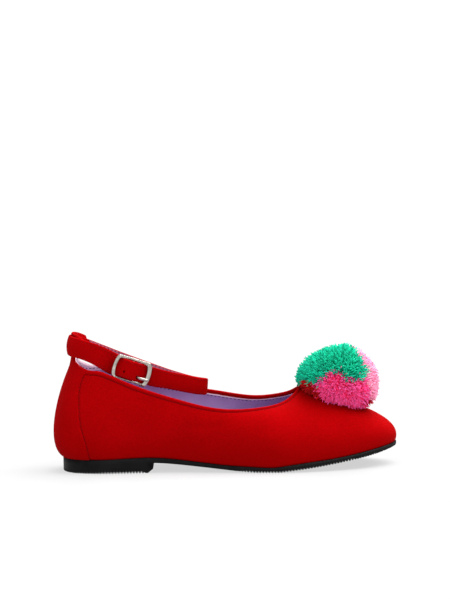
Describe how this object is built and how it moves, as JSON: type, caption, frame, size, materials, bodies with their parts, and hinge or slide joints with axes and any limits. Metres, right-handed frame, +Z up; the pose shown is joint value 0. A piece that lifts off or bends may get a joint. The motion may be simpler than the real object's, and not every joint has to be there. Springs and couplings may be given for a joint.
{
  "type": "ballet flat",
  "caption": "right shoe: low red suede ballet flat with a buckled ankle strap held by a heel tab, a yarn pompom on the vamp and a black moulded sole with a low heel",
  "frame": {"origin": "centre of the heel's resting face, on the floor", "axes": "+X to the toe, +Y to the inner (medial) side, -Y to the outer side with the buckle, +Z up"},
  "size_m": [0.2056, 0.0718, 0.0826],
  "materials": {
    "black_rubber": "matt black moulded rubber with a fine ribbed edge",
    "lilac_leather": "smooth lilac lining leather",
    "red_suede": "red suede with a short nap",
    "strap_suede": "red suede, lined with pale lilac leather",
    "nickel": "polished nickel plate",
    "yarn": "cut wool yarn, green with hot pink, pale pink and a little red"
  },
  "bodies": {
    "root": {"outsole": "black_rubber", "insole": "lilac_leather", "upper": "red_suede", "ankle_strap": "strap_suede", "buckle_frame": "nickel", "buckle_prong": "nickel", "pompom": "yarn"}
  },
  "joints": []
}
